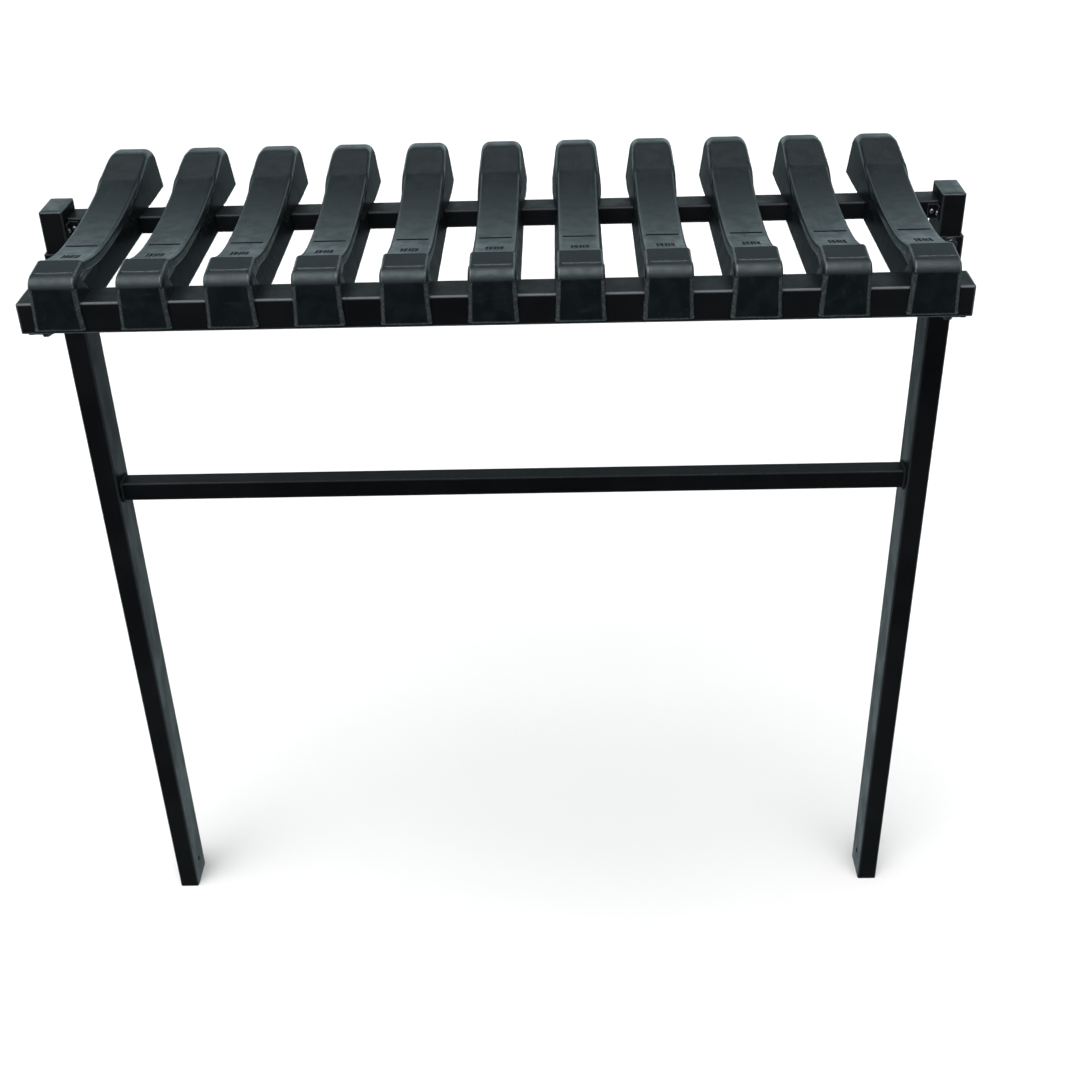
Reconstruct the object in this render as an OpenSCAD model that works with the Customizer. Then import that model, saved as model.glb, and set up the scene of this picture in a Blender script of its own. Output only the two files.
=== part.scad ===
// Slatted rack: two posts, three cross tubes and eleven moulded saddles laid across two rails.
// X runs along the rack, +Y towards the back, +Z up; Z = 0 is the underside of the posts.

/* [Frame] */
// Clear distance between the posts
post_gap = 1190; // [1160:5:1240]
// Post width, along the rack
post_w = 32; // [28:1:36]
// Post depth, front to back
post_d = 60; // [56:1:70]
// Length of each post tube
post_h = 1263; // [1100:1:1400]
// Wall of the posts and rails
tube_wall = 2; // [1.5:0.5:2.5]
// Depth of the plan box in front of the posts' front faces
post_setback = 285; // [280:1:290]

/* [Rails] */
// Rear rail height
rear_rail_h = 25; // [20:1:30]
// Rear rail depth
rear_rail_d = 40; // [35:1:45]
// Front rail height
front_rail_h = 40; // [36:1:44]
// Front rail depth
front_rail_d = 50; // [46:1:52]
// Length of the front rail tube
front_rail_l = 1144; // [1140:1:1150]
// Side of the square crossbar
crossbar_s = 30; // [24:1:34]
// Top of the crossbar above the floor
crossbar_top = 832; // [500:1:1000]

/* [Saddles] */
// Distance between saddle centres
saddle_pitch = 105; // [100:1:106]
// Width of the saddle's top face
saddle_top_w = 54; // [50:1:58]
// Width of the head at its lower edge
saddle_head_w = 70; // [62:1:74]
// Width of the web at its lower edge
saddle_web_w = 64; // [58:1:68]
// Width of the front cap at its lower edge
saddle_cap_w = 62; // [58:1:66]
// Radius of the long hollow in the top
saddle_hollow_r = 850; // [800:10:900]

/* [Fixings] */
// Foot bolt hole diameter
foot_hole_d = 9; // [6.5:0.5:11]
// Height of the foot bolt hole
foot_hole_z = 40; // [25:1:60]

/* [Hidden] */
$fn = 64;
eps = 0.01;

saddle_count = 11;
depth = 440;                                  // front cap face to the back of the heads
front_y = -depth / 2;
back_y = depth / 2;
post_y = front_y + post_setback;              // front faces of the posts
post_x = (post_gap + post_w) / 2;             // centre line of each post
post_back = post_y + post_d;
rail_top = post_h - 13;
rear_rail_y = post_back - rear_rail_d;
rear_rail_mid = rear_rail_y + rear_rail_d / 2;
front_rail_y = front_y + 6;                   // the cap skirt hangs in front of the rail
front_rail_mid = front_rail_y + front_rail_d / 2;
front_rail_back = front_rail_y + front_rail_d;
front_rail_low = rail_top - front_rail_h;
crossbar_y = post_y + (post_d - crossbar_s) / 2;

// Fasteners
saddle_screw_r = 3;                           // M6
saddle_screw_tip = rail_top + 16;
hole_slack = 0.3;
seat_bolt_r = 3;
bracket_bolt_r = 5;                           // M10
bracket_bolt_zs = [rail_top - 53, rail_top - 97];
hex_m6_r = 5.77;
hex_m10_r = 9.24;

// Side bracket plate
plate_t = 4;
arm_t = 6;
arm_x = 563;
bracket_top = rail_top - 43;
bracket_low = rail_top - 120;
wing_t = 3;
wing_d = 44;
seat_x = 538;
seat_mid_x = 549;

function saddle_x(i) = (i - (saddle_count - 1) / 2) * saddle_pitch;

module round_rect(w, d, r) {
    square([w - 2 * r, d], center = true);
    square([w, d - 2 * r], center = true);
    for (x = [-1, 1], y = [-1, 1]) translate([x * (w / 2 - r), y * (d / 2 - r)]) circle(r);
}

module tube_section(w, d, wall) {
    difference() {
        round_rect(w, d, 1.5 * wall);
        round_rect(w - 2 * wall, d - 2 * wall, wall / 2);
    }
}

// Lays a section drawn as (depth, height) along X, centred
module along_x(length) {
    rotate([90, 0, 90]) linear_extrude(length, center = true) children();
}

// Lays a section drawn as (width, height) along Y from y0 to y1
module along_y(y0, y1) {
    translate([0, y1, 0]) rotate([90, 0, 0]) linear_extrude(y1 - y0) children();
}

module mirrored(s) {
    if (s > 0) children();
    else mirror([1, 0, 0]) children();
}

// ---------- posts ----------
module post(s) {
    color("#17181a") difference() {
        translate([s * post_x, post_y + post_d / 2, 0])
            linear_extrude(post_h) tube_section(post_w, post_d, tube_wall);
        translate([s * post_x, post_y + post_d / 2, foot_hole_z]) rotate([0, 90, 0])
            cylinder(d = foot_hole_d, h = post_w + 2 * tube_wall, center = true);
        for (z = bracket_bolt_zs) translate([s * post_x, post_y - 5, z]) rotate([-90, 0, 0])
            cylinder(r = bracket_bolt_r + hole_slack, h = post_d + 10);
        translate([s * (post_gap / 2 - 5), rear_rail_y - 9.5, rail_top - 14]) rotate([0, s * 90, 0])
            cylinder(r = 2, h = 5 + tube_wall + 1);
    }
}

module post_cap(s) {
    head_h = 3;
    plug_h = 16;
    fin_h = 1.2;
    inner_w = post_w - 2 * tube_wall;
    inner_d = post_d - 2 * tube_wall;
    color("#1c1d1f") translate([s * post_x, post_y + post_d / 2, post_h]) {
        linear_extrude(head_h / 2) round_rect(post_w, post_d, 3);
        translate([0, 0, head_h / 2]) linear_extrude(head_h / 2) round_rect(post_w - 2, post_d - 2, 2.5);
        translate([0, 0, -plug_h]) linear_extrude(plug_h) difference() {
            round_rect(inner_w - 3, inner_d - 3, 1.5);
            round_rect(inner_w - 7, inner_d - 7, 1);
        }
        for (k = [1:3]) translate([0, 0, -4 * k]) linear_extrude(fin_h) difference() {
            round_rect(inner_w - 0.4, inner_d - 0.4, 1);
            round_rect(inner_w - 5, inner_d - 5, 1);
        }
    }
}

// ---------- crossbar ----------
module crossbar() {
    color("#17181a") translate([0, crossbar_y + crossbar_s / 2, crossbar_top - crossbar_s / 2])
        along_x(post_gap) tube_section(crossbar_s, crossbar_s, tube_wall);
}

// A straight fillet of weld on each of the four sides of the bar, at both ends
module crossbar_welds() {
    leg = 4;
    bead_l = crossbar_s - 4;
    color("#202225") for (s = [-1, 1], a = [0:90:270])
        translate([s * post_gap / 2, crossbar_y + crossbar_s / 2, crossbar_top - crossbar_s / 2])
            rotate([a, 0, 0]) translate([0, 0, crossbar_s / 2]) rotate([90, 0, 0])
                linear_extrude(bead_l, center = true) polygon([[0, 0], [-s * leg, 0], [0, leg]]);
}

// ---------- rear rail ----------
module rear_rail() {
    color("#17181a") difference() {
        translate([0, rear_rail_mid, rail_top - rear_rail_h / 2])
            along_x(post_gap) tube_section(rear_rail_d, rear_rail_h, tube_wall);
        for (i = [0:saddle_count - 1]) translate([saddle_x(i), rear_rail_mid, rail_top - rear_rail_h - 5])
            cylinder(r = saddle_screw_r + hole_slack, h = rear_rail_h + 10);
        for (s = [-1, 1]) translate([s * (post_gap / 2 - 8), rear_rail_y - 5, rail_top - 14])
            rotate([-90, 0, 0]) cylinder(r = 2, h = 5 + tube_wall + 1);
    }
}

module rear_rail_bracket(s) {
    leg = 14;
    t = 2.5;
    high = 20;
    low = rail_top - 24;
    corner = [post_gap / 2, rear_rail_y, low];
    color("#1b1c1e") mirrored(s) difference() {
        translate(corner) union() {
            translate([-leg, -t, 0]) cube([leg, t, high]);
            translate([-t, -leg, 0]) cube([t, leg, high]);
        }
        translate([corner[0] - 8, corner[1] - t - 1, rail_top - 14]) rotate([-90, 0, 0])
            cylinder(r = 2.2, h = t + 2);
        translate([corner[0] - t - 1, corner[1] - 9.5, rail_top - 14]) rotate([0, 90, 0])
            cylinder(r = 2.2, h = t + 2);
    }
}

// Pan-head screw along +Z, bearing face at Z = 0
module pan_screw(head_r, head_h, shank_r, shank_l) {
    difference() {
        translate([0, 0, -head_h]) cylinder(r1 = head_r - 0.8, r2 = head_r, h = head_h);
        translate([0, 0, -head_h - 1]) linear_extrude(head_h / 2 + 1) {
            square([1, head_r * 1.1], center = true);
            square([head_r * 1.1, 1], center = true);
        }
    }
    translate([0, 0, -eps]) cylinder(r = shank_r, h = shank_l + eps);
}

module rear_bracket_screws() {
    t = 2.5;
    z = rail_top - 14;
    color("#b9bcc0") for (s = [-1, 1]) mirrored(s) {
        translate([post_gap / 2 - 8, rear_rail_y - t, z]) rotate([-90, 0, 0]) pan_screw(3.6, 2.4, 1.95, 8);
        translate([post_gap / 2 - t, rear_rail_y - 9.5, z]) rotate([0, 90, 0]) pan_screw(3.2, 2.4, 1.95, 8);
    }
}

// ---------- front rail ----------
module front_rail() {
    color("#17181a") difference() {
        translate([0, front_rail_mid, rail_top - front_rail_h / 2])
            along_x(front_rail_l) tube_section(front_rail_d, front_rail_h, tube_wall);
        for (i = [0:saddle_count - 1]) translate([saddle_x(i), front_rail_mid, front_rail_low - 5])
            cylinder(r = saddle_screw_r + hole_slack, h = front_rail_h + 10);
        for (s = [-1, 1], y = [-10, 10]) translate([s * seat_mid_x, front_rail_mid + y, front_rail_low - 5])
            cylinder(r = seat_bolt_r + hole_slack, h = 5 + tube_wall + 1);
    }
}

module front_rail_cap(s) {
    face_t = 3;
    plug_l = 14;
    in_d = front_rail_d - 2 * tube_wall;
    in_h = front_rail_h - 2 * tube_wall;
    color("#26282b") mirrored(s)
        translate([front_rail_l / 2, front_rail_mid, rail_top - front_rail_h / 2]) rotate([90, 0, 90]) {
            linear_extrude(face_t - 1) round_rect(front_rail_d, front_rail_h, 3);
            translate([0, 0, face_t - 1]) linear_extrude(1) round_rect(front_rail_d - 2, front_rail_h - 2, 3);
            translate([0, 0, -plug_l]) linear_extrude(plug_l) difference() {
                round_rect(in_d - 3, in_h - 3, 1.5);
                round_rect(in_d - 7, in_h - 7, 1);
            }
            for (k = [1:3]) translate([0, 0, -4 * k]) linear_extrude(1.2) difference() {
                round_rect(in_d - 0.4, in_h - 0.4, 1);
                round_rect(in_d - 5, in_h - 5, 1);
            }
        }
}

// ---------- side brackets ----------
module side_bracket(s) {
    inner_x = arm_x;
    outer_x = post_gap / 2 + post_w;
    color("#1b1c1e") mirrored(s) difference() {
        union() {
            // plate on the post's front face
            translate([inner_x, post_y - plate_t, bracket_low])
                cube([outer_x + wing_t - inner_x, plate_t, bracket_top - bracket_low]);
            // wing along the post's outer face
            translate([outer_x, post_y - plate_t, bracket_low])
                cube([wing_t, wing_d, bracket_top - bracket_low]);
            // arm plate, on edge
            translate([arm_x, 0, 0]) rotate([90, 0, 90]) linear_extrude(arm_t) polygon([
                [post_y - plate_t, bracket_low], [post_y - plate_t, bracket_top],
                [front_rail_back + 100, rail_top - 28], [front_rail_back, rail_top - 12],
                [front_rail_back, front_rail_low], [front_rail_y + 10, front_rail_low],
                [front_rail_y + 10, front_rail_low - 4], [front_rail_back, front_rail_low - 20]]);
            // seat under the rail
            translate([seat_x, front_rail_y + 8, front_rail_low - plate_t])
                cube([arm_x + arm_t - seat_x, front_rail_d - 8, plate_t]);
        }
        for (z = bracket_bolt_zs) translate([post_x, post_y - plate_t - 1, z]) rotate([-90, 0, 0])
            cylinder(r = bracket_bolt_r + hole_slack, h = plate_t + 2);
        for (y = [-10, 10]) translate([seat_mid_x, front_rail_mid + y, front_rail_low - plate_t - 1])
            cylinder(r = seat_bolt_r + hole_slack, h = plate_t + 2);
    }
}

// Hexagon-head bolt along +Z, bearing face at Z = 0
module hex_bolt(head_r, head_h, shank_r, shank_l) {
    translate([0, 0, -head_h]) cylinder(r = head_r, h = head_h, $fn = 6);
    translate([0, 0, -eps]) cylinder(r = shank_r, h = shank_l + eps);
}

module bracket_bolts() {
    washer_t = 2;
    color("#3a3d41") for (s = [-1, 1], z = bracket_bolt_zs)
        translate([s * post_x, post_y - plate_t - washer_t, z]) rotate([-90, 0, 0]) rotate(90)
            hex_bolt(hex_m10_r, 6.4, bracket_bolt_r, post_d + plate_t + 2 * washer_t + 12);
}

module bracket_washers() {
    washer_t = 2;
    color("#6a6e73") for (s = [-1, 1], z = bracket_bolt_zs, y = [post_y - plate_t - washer_t, post_back])
        translate([s * post_x, y, z]) rotate([-90, 0, 0]) difference() {
            cylinder(r = 10, h = washer_t);
            translate([0, 0, -1]) cylinder(r = bracket_bolt_r + hole_slack, h = washer_t + 2);
        }
}

module bracket_nuts() {
    washer_t = 2;
    color("#6a6e73") for (s = [-1, 1], z = bracket_bolt_zs)
        translate([s * post_x, post_back + washer_t, z]) rotate([-90, 0, 0]) rotate(90) difference() {
            cylinder(r = hex_m10_r, h = 8, $fn = 6);
            translate([0, 0, -1]) cylinder(r = bracket_bolt_r + 0.02, h = 10);
        }
}

module seat_bolts() {
    color("#6a6e73") for (s = [-1, 1], y = [-10, 10])
        translate([s * seat_mid_x, front_rail_mid + y, front_rail_low - plate_t])
            hex_bolt(hex_m6_r, 4, seat_bolt_r, plate_t + 10);
}

// ---------- saddles ----------
lip_front_z = rail_top + 33.5;                // the lip falls towards the shoulder
lip_back_z = rail_top + 38;
lip_back = -168;
head_top = rail_top + 57.5;
head_back_r = 18;
hollow_low = rail_top + 22;
hollow_y = -60;
web_low = rail_top - 22;
skin_t = 13;
recess_w = saddle_top_w - 5;
skirt_z = rail_top + 10;
head_low = rail_top - 3;
cap_low = rail_top - 34;
web_y0 = front_rail_back + 1;
web_y1 = rear_rail_y - 1.5;
core_y0 = front_y + 20;                       // front end of the skin and of the core, inside the cap
core_y1 = back_y - 60;
skin_y1 = back_y - 40;
cap_back = front_rail_back - 6;
post_clear = 0.5;                             // between the skirt of the head and the rear rail
over = 100;                                   // cutting height, more than any saddle's
shoulder_r = 14;
cap_top_w = saddle_top_w + 3;

// The hollow is one long arc, with a tighter arc in front that rises to the lip
hollow_z = hollow_low + saddle_hollow_r;
rise_r = 310;
rise_from = hollow_y - 25;
rise_y = rise_from + (hollow_y - rise_from) * rise_r / saddle_hollow_r;
rise_z = hollow_z - (saddle_hollow_r - rise_r) * sqrt(1 - pow((rise_from - hollow_y) / saddle_hollow_r, 2));

// Arc over the crest, tangent to the hollow and to the flat top of the head
crest_r = 60;
crest_cut = 6;
crest_y = hollow_y + sqrt(pow(saddle_hollow_r + crest_r, 2) - pow(hollow_z - head_top + crest_r, 2));
crest_from = hollow_y + (crest_y - hollow_y) * saddle_hollow_r / (saddle_hollow_r + crest_r);

// Flank of the head, which runs forwards and down to the top of the skirt
flank_y = 51;
flank_from = flank_y - 6;
flank_slope = 0.4545;

// Outline of the top, from the lip over the hollow to the head, down to z0
module top_outline(z0) {
    difference() {
        union() {
            translate([front_y, z0]) square([depth - head_back_r, head_top - z0]);
            translate([front_y, z0]) square([depth, head_top - head_back_r - z0]);
            translate([back_y - head_back_r, head_top - head_back_r]) circle(head_back_r);
        }
        // long hollow, rising to the head
        intersection() {
            translate([hollow_y, hollow_z]) circle(saddle_hollow_r, $fn = 256);
            translate([rise_from, hollow_low - 1]) square([depth, saddle_hollow_r]);
        }
        // tighter rise to the lip
        intersection() {
            translate([rise_y, rise_z]) circle(rise_r, $fn = 128);
            translate([lip_back, hollow_low - 1]) square([rise_from + eps - lip_back, over]);
        }
        // crest
        difference() {
            translate([crest_from, head_top - crest_cut]) square([crest_y - crest_from, crest_cut + 1]);
            translate([crest_y, head_top - crest_r]) circle(crest_r);
        }
        // lip top, falling slightly to the front
        polygon([[front_y - 1, lip_front_z], [front_y + shoulder_r, lip_front_z], [lip_back, lip_back_z],
            [lip_back, head_top + 1], [front_y - 1, head_top + 1]]);
        // rounded shoulder over the front face
        difference() {
            translate([front_y - 1, lip_front_z - shoulder_r]) square([shoulder_r + 1, shoulder_r + 1]);
            translate([front_y + shoulder_r, lip_front_z - shoulder_r]) circle(shoulder_r);
        }
    }
}

// A section that is top_w wide at z1 and low_w wide at z0
module flare(low_w, z0, top_w, z1) {
    polygon([[-low_w / 2, z0], [low_w / 2, z0], [top_w / 2, z1], [-top_w / 2, z1]]);
}

module saddle_blank() {
    // top skin, a band that follows the hollow
    along_x(saddle_top_w) intersection() {
        difference() {
            top_outline(rail_top);
            translate([0, -skin_t]) difference() {
                top_outline(web_low);
                translate([front_y - 1, web_low - 1]) square([core_y0 - front_y, over + 1]);
            }
        }
        translate([core_y0, rail_top]) square([skin_y1 - core_y0, over]);
    }
    // core between the rails and over the rear rail
    intersection() {
        along_x(saddle_web_w) difference() {
            top_outline(web_low);
            translate([front_y - 1, web_low - 1]) square([web_y0 - front_y + 1, rail_top - web_low + 1]);
            translate([web_y1, web_low - 1]) square([back_y - web_y1, rail_top - web_low + 1]);
            translate([front_y - 1, rail_top - 1]) square([core_y0 - front_y, over]);
            translate([core_y1, rail_top - 1]) square([back_y + 1 - core_y1, over]);
        }
        along_y(front_y, back_y) union() {
            flare(saddle_web_w, web_low, recess_w, skirt_z);
            translate([-recess_w / 2, skirt_z - 1]) square([recess_w, over]);
        }
    }
    // head over and behind the rear rail, its flanks narrowing to the skirt in front
    intersection() {
        along_x(saddle_head_w) intersection() {
            top_outline(head_low);
            polygon([[flank_y, skirt_z], [flank_y, rail_top], [post_back + post_clear, rail_top],
                [post_back + post_clear, head_low], [back_y + 1, head_low], [back_y + 1, head_top + 1],
                [flank_y + (head_top + 1 - skirt_z) / flank_slope, head_top + 1]]);
        }
        along_y(front_y, back_y) flare(saddle_head_w, head_low, saddle_top_w, head_top);
        half_w = saddle_head_w / 2;
        translate([0, 0, head_low - 1]) linear_extrude(over) polygon([
            [-recess_w / 2, flank_from], [recess_w / 2, flank_from], [half_w, post_back],
            [half_w, back_y + 1], [-half_w, back_y + 1], [-half_w, post_back]]);
    }
    // front cap, hooked over the front rail
    intersection() {
        along_x(saddle_cap_w) difference() {
            top_outline(cap_low);
            translate([front_rail_y - 0.5, cap_low - 1]) square([depth, rail_top - cap_low + 1]);
            translate([cap_back, cap_low - 1]) square([depth, over]);
        }
        along_y(front_y, back_y) flare(saddle_cap_w, cap_low, cap_top_w, lip_back_z);
    }
}

// Pockets open underneath, with cross ribs left standing
module saddle_pockets() {
    wall = 4;
    rib_t = 3;
    bays = 4;
    head_pocket_y = back_y - 66;
    head_roof = head_top - 14;
    bay0 = web_y0 + wall;
    bay_l = (web_y1 - wall - bay0 + rib_t) / bays;
    for (k = [0:bays - 1]) translate([-(recess_w / 2 - wall), bay0 + k * bay_l, web_low - 1])
        cube([recess_w - 2 * wall, bay_l - rib_t, hollow_low - wall - web_low + 1]);
    along_y(head_pocket_y, back_y - wall)
        flare(saddle_head_w - 2 * wall - 1, head_low - 1, saddle_top_w - 2 * wall - 4, head_roof);
}

module saddle(i) {
    color("#22262b") translate([saddle_x(i), 0, 0]) difference() {
        saddle_blank();
        saddle_pockets();
        for (y = [front_rail_mid, rear_rail_mid]) translate([0, y, rail_top - 1])
            cylinder(r = saddle_screw_r + 0.05, h = saddle_screw_tip - rail_top + 3);
    }
}

module saddle_screws(y, low) {
    color("#6a6e73") for (i = [0:saddle_count - 1]) translate([saddle_x(i), y, low])
        hex_bolt(hex_m6_r, 4, saddle_screw_r, saddle_screw_tip - low);
}

post(-1);  // post_left
post(1);  // post_right
post_cap(-1);  // post_cap_left
post_cap(1);  // post_cap_right
crossbar();
crossbar_welds();
rear_rail();
rear_rail_bracket(-1);  // rear_rail_bracket_left
rear_rail_bracket(1);  // rear_rail_bracket_right
rear_bracket_screws();
front_rail();
front_rail_cap(-1);  // front_rail_cap_left
front_rail_cap(1);  // front_rail_cap_right
side_bracket(-1);  // side_bracket_left
side_bracket(1);  // side_bracket_right
bracket_bolts();
bracket_washers();
bracket_nuts();
seat_bolts();
saddle_screws(front_rail_mid, front_rail_low);  // saddle_screws_front
saddle_screws(rear_rail_mid, rail_top - rear_rail_h);  // saddle_screws_rear
saddle(0);  // saddle_01
saddle(1);  // saddle_02
saddle(2);  // saddle_03
saddle(3);  // saddle_04
saddle(4);  // saddle_05
saddle(5);  // saddle_06
saddle(6);  // saddle_07
saddle(7);  // saddle_08
saddle(8);  // saddle_09
saddle(9);  // saddle_10
saddle(10);  // saddle_11
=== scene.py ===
import math

import bpy
import numpy as np
from mathutils import Matrix, Vector


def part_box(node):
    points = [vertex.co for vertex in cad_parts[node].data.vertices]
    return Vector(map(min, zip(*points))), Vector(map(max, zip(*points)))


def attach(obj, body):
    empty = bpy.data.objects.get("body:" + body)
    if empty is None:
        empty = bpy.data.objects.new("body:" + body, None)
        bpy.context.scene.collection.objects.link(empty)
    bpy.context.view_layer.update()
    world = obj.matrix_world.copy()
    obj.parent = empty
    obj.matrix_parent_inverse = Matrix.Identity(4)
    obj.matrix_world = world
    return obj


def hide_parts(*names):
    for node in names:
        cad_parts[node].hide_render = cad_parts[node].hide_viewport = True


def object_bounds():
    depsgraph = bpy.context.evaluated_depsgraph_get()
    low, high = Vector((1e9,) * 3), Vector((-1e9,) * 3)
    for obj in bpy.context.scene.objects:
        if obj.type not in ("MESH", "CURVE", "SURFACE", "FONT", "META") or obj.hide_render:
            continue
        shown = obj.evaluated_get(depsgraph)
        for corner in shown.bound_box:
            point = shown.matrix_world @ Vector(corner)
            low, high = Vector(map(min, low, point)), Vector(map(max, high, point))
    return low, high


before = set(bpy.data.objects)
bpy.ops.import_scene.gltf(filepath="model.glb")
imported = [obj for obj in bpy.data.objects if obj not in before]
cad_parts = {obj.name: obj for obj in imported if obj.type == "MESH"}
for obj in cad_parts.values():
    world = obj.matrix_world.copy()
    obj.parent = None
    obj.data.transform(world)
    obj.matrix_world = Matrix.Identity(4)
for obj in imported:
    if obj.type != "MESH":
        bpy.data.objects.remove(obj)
cad_lo, cad_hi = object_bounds()
scene = bpy.context.scene
MM = 0.001


# ------------------------------------------------------------------ camera, in metres and radians
CAM_POS = (0.0861, -1.8530, 1.9331)
CAM_YAW, CAM_PITCH, CAM_ROLL = 0.0232, -0.5606, -0.0284
CAM_FOCAL_PX, FRAME_PX, SENSOR_MM = 1469.4, 1080.0, 36.0


def make_camera():
    cy, sy = math.cos(CAM_YAW), math.sin(CAM_YAW)
    cp, sp = math.cos(CAM_PITCH), math.sin(CAM_PITCH)
    cr, sr = math.cos(CAM_ROLL), math.sin(CAM_ROLL)
    ahead = Vector((-sy * cp, cy * cp, sp))
    right = Vector((cy, sy, 0.0))
    up = right.cross(ahead)
    right, up = cr * right + sr * up, -sr * right + cr * up
    data = bpy.data.cameras.new("camera")
    data.sensor_width = SENSOR_MM
    data.lens = CAM_FOCAL_PX / FRAME_PX * SENSOR_MM
    data.clip_start, data.clip_end = 0.05, 60.0
    cam = bpy.data.objects.new("camera", data)
    scene.collection.objects.link(cam)
    turn = Matrix((right, up, -ahead)).transposed()
    cam.matrix_world = Matrix.Translation(CAM_POS) @ turn.to_4x4()
    scene.camera = cam


make_camera()


# ------------------------------------------------------------------ places, in mm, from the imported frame
def span_mm(node):
    lo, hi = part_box(node)
    return np.array(lo) / MM, np.array(hi) / MM


SADDLE_LO, SADDLE_HI = span_mm("saddle_06")
FRONT, BACK = SADDLE_LO[1], SADDLE_HI[1]


# ------------------------------------------------------------------ distance fields, negative inside
PROBE = 0.05                # mm, step used to measure a field's slope
LEAST_SLOPE = 0.05          # keeps a step finite where a field is flat


def both(a, b, r):
    """Overlap of two solids, with the edge between them rounded to r."""
    return np.minimum(np.maximum(a, b), -r) + np.hypot(np.maximum(a + r, 0), np.maximum(b + r, 0))


def either(a, b, r):
    """Union of two solids, with a fillet of r between them."""
    return np.maximum(np.minimum(a, b), r) - np.hypot(np.maximum(r - a, 0), np.maximum(r - b, 0))


def without(a, b, r):
    """Solid a with b cut out of it."""
    return both(a, -b, r)


def block(x, y, z, lo, hi, r):
    """Box with all its edges rounded to r."""
    q = [np.abs(v - (a + b) / 2) - (b - a) / 2 + r for v, a, b in zip((x, y, z), lo, hi)]
    out = np.sqrt(sum(np.maximum(v, 0) ** 2 for v in q))
    return out + np.minimum(np.maximum(np.maximum(q[0], q[1]), q[2]), 0) - r


def gradient(field, p, h):
    """Slope of the field along X, Y and Z at points p, over h mm each way."""
    g = np.empty_like(p)
    for k in range(3):
        e = np.zeros(3)
        e[k] = h
        g[:, k] = (field(*(p + e).T) - field(*(p - e).T)) / (2 * h)
    return g


def settle(field, p, rounds, limit):
    """Moves points onto the surface of the field, by limit mm at most in each round."""
    for _ in range(rounds):
        g = gradient(field, p, PROBE)
        d = field(*p.T)
        step = d / np.maximum((g * g).sum(1), LEAST_SLOPE)
        p = p - g * np.clip(step, -limit, limit)[:, None]
    return p


def ticks(lo, hi, step, fine=()):
    """Grid lines from lo to hi, closer together inside each (from, to, step) of fine."""
    marks, at = [lo], lo
    while at < hi:
        s = min([step] + [f[2] for f in fine if f[0] <= at < f[1]])
        at += s
        marks.append(at)
    return np.array(marks)


class Shell:
    """Vertices in mm, faces, one normal per vertex, and how sharp the surface is there."""

    def __init__(self, verts, faces, normals, wear):
        self.verts, self.faces, self.normals, self.wear = verts, faces, normals, wear

    def moved(self, shift, turn=None, flip=False):
        v, n = self.verts, self.normals
        if turn is not None:
            v, n = v @ turn.T, n @ turn.T
        if flip:
            v, n = v * (-1, 1, 1), n * (-1, 1, 1)
        faces = self.faces[:, ::-1] if flip else self.faces
        return Shell(v + np.asarray(shift, float), faces, n, self.wear)


def surface_net(field, axes):
    """Quads round the zero surface of a field sampled on a grid."""
    gx, gy, gz = np.meshgrid(*axes, indexing="ij")
    d = field(gx, gy, gz)
    inside = d < 0
    corner = sum(inside[i:i - 1 or None, j:j - 1 or None, k:k - 1 or None].astype(np.int8)
                 for i in (0, 1) for j in (0, 1) for k in (0, 1))
    mixed = (corner > 0) & (corner < 8)
    cell = np.argwhere(mixed)
    index = np.full(mixed.shape, -1)
    index[mixed] = np.arange(len(cell))
    total, count = np.zeros((len(cell), 3)), np.zeros(len(cell))
    for a in range(3):
        b, c = (a + 1) % 3, (a + 2) % 3
        for ob in (0, 1):
            for oc in (0, 1):
                one = cell.copy()
                one[:, b] += ob
                one[:, c] += oc
                two = one.copy()
                two[:, a] += 1
                d1, d2 = d[tuple(one.T)], d[tuple(two.T)]
                hit = (d1 < 0) != (d2 < 0)
                t = d1[hit] / (d1[hit] - d2[hit])
                p1 = np.stack([axes[k][one[hit, k]] for k in range(3)], 1)
                p2 = np.stack([axes[k][two[hit, k]] for k in range(3)], 1)
                total[hit] += p1 + (p2 - p1) * t[:, None]
                count[hit] += 1
    verts = total / count[:, None]
    quads = []
    for a in range(3):
        b, c = (a + 1) % 3, (a + 2) % 3
        first = [slice(None)] * 3
        second = [slice(None)] * 3
        first[a], second[a] = slice(0, -1), slice(1, None)
        s1, s2 = inside[tuple(first)], inside[tuple(second)]
        edge = np.argwhere(s1 != s2)
        keep = (edge[:, b] > 0) & (edge[:, c] > 0)
        keep &= (edge[:, b] < inside.shape[b] - 1) & (edge[:, c] < inside.shape[c] - 1)
        edge = edge[keep]
        ring = []
        for ob, oc in ((-1, -1), (0, -1), (0, 0), (-1, 0)):
            e = edge.copy()
            e[:, b] += ob
            e[:, c] += oc
            ring.append(index[tuple(e.T)])
        quad = np.stack(ring, 1)
        back = ~s1[tuple(edge.T)]
        quad[back] = quad[back][:, ::-1]
        quads.append(quad)
    return verts, np.concatenate(quads)


def thinned(verts, faces, ratio):
    """Fewer faces where the surface is flat. Returns triangles."""
    mesh = bpy.data.meshes.new("thin")
    mesh.from_pydata((verts * MM).tolist(), [], faces.tolist())
    obj = bpy.data.objects.new("thin", mesh)
    scene.collection.objects.link(obj)
    mod = obj.modifiers.new("thin", "DECIMATE")
    mod.ratio = ratio
    low = bpy.data.meshes.new_from_object(obj.evaluated_get(bpy.context.evaluated_depsgraph_get()))
    low.calc_loop_triangles()
    v = np.empty(len(low.vertices) * 3)
    low.vertices.foreach_get("co", v)
    t = np.empty(len(low.loop_triangles) * 3, int)
    low.loop_triangles.foreach_get("vertices", t)
    bpy.data.objects.remove(obj)
    bpy.data.meshes.remove(mesh)
    bpy.data.meshes.remove(low)
    return v.reshape(-1, 3) / MM, t.reshape(-1, 3)


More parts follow.
